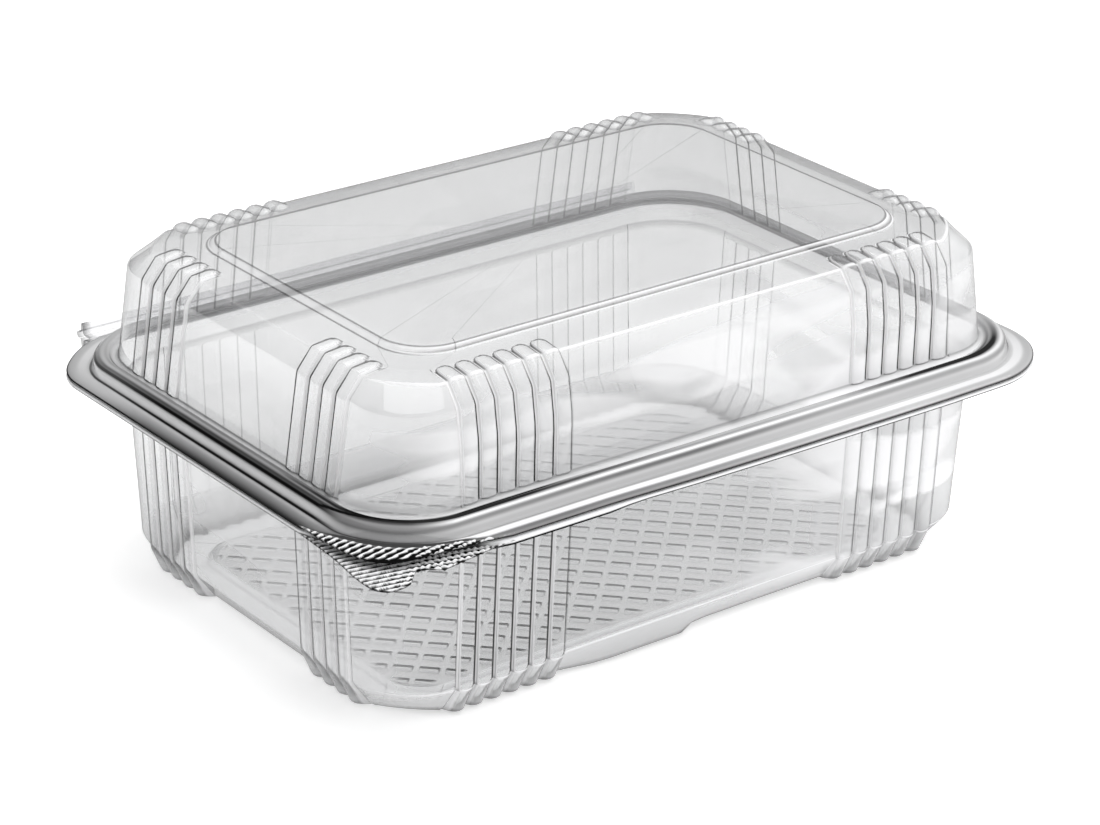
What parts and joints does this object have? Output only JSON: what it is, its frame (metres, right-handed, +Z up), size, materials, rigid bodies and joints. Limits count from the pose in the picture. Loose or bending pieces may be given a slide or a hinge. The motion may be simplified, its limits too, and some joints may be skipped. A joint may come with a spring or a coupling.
{
  "type": "hinged plastic cookie container",
  "caption": "Clear rectangular tray and domed lid joined by a hinge along one long side, with fluted corners, a snap rim and a ridged pull tab at one corner.",
  "frame": {"origin": "middle of the tray's flat underside, on the ground", "axes": "+X along the long sides, +Y from the opening side towards the hinge, +Z up"},
  "size_m": [0.2024, 0.1537, 0.0823],
  "materials": {
    "tray": "clear glossy formed sheet",
    "lid": "clear glossy formed sheet"
  },
  "bodies": {
    "base": {"tray": "tray", "hinge_tray_leaf": "tray", "hinge_fold": "tray"},
    "cover": {"lid": "lid", "hinge_lid_leaf": "lid"}
  },
  "joints": [
    {"name": "lid_hinge", "type": "hinge", "parent": "base", "child": "cover", "pos_m": [0, 0.0764, 0.0489], "axis": [-1, 0, 0], "range_deg": [0, 180]}
  ]
}
